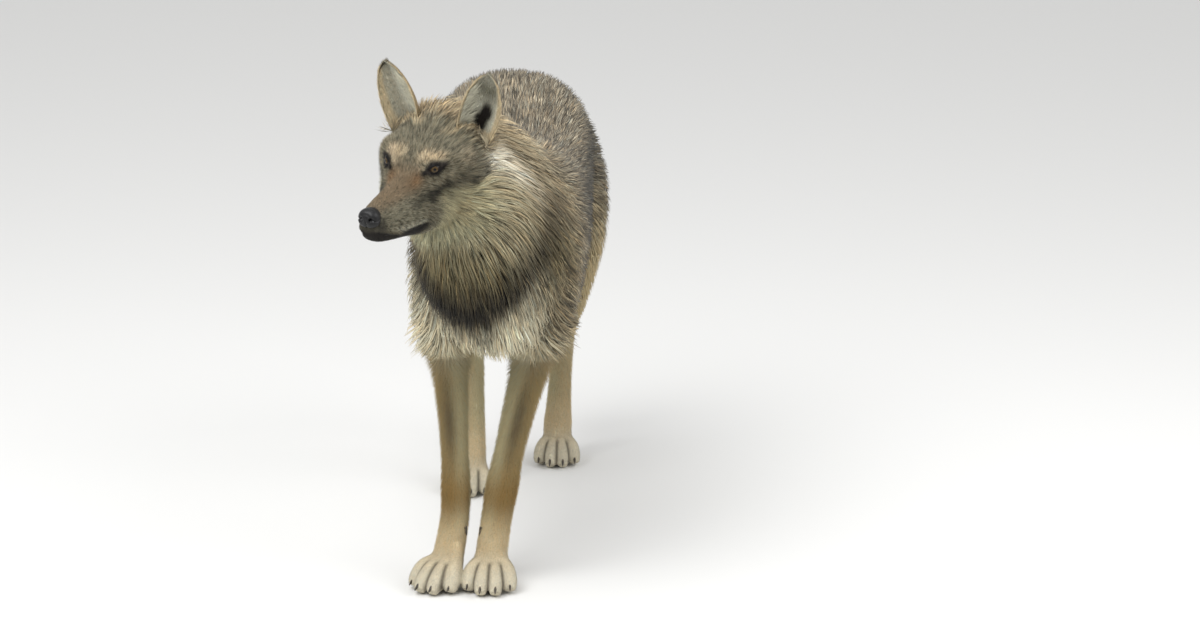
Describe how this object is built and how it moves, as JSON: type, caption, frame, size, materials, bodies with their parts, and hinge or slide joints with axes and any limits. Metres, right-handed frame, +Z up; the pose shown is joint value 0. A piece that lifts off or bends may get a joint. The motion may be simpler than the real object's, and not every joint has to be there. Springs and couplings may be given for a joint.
{
  "type": "wolf",
  "caption": "Life-size still model of a grey wolf standing with its head turned a little to its right.",
  "frame": {"origin": "on the floor, under the middle of the model's box", "axes": "+Z up, -Y the way the body faces, +X the wolf's left side"},
  "size_m": [0.3148, 1.2001, 0.8839],
  "materials": {
    "fur": "matte",
    "pale_fur": "matte",
    "nose_skin": "satin",
    "eye": "gloss"
  },
  "bodies": {
    "root": {"chest": "fur", "ear_left": "fur", "ear_right": "fur", "eye_left": "eye", "eye_right": "eye", "fore_pastern_left": "fur", "fore_pastern_right": "fur", "fore_paw_left": "pale_fur", "fore_paw_right": "pale_fur", "foreleg_left": "fur", "foreleg_right": "fur", "head": "fur", "hind_leg_left": "fur", "hind_leg_right": "fur", "hind_paw_left": "pale_fur", "hind_paw_right": "pale_fur", "hock_left": "fur", "hock_right": "fur", "jaw": "fur", "neck": "fur", "nose": "nose_skin", "rump": "fur", "tail": "fur", "trunk": "fur"}
  },
  "joints": []
}
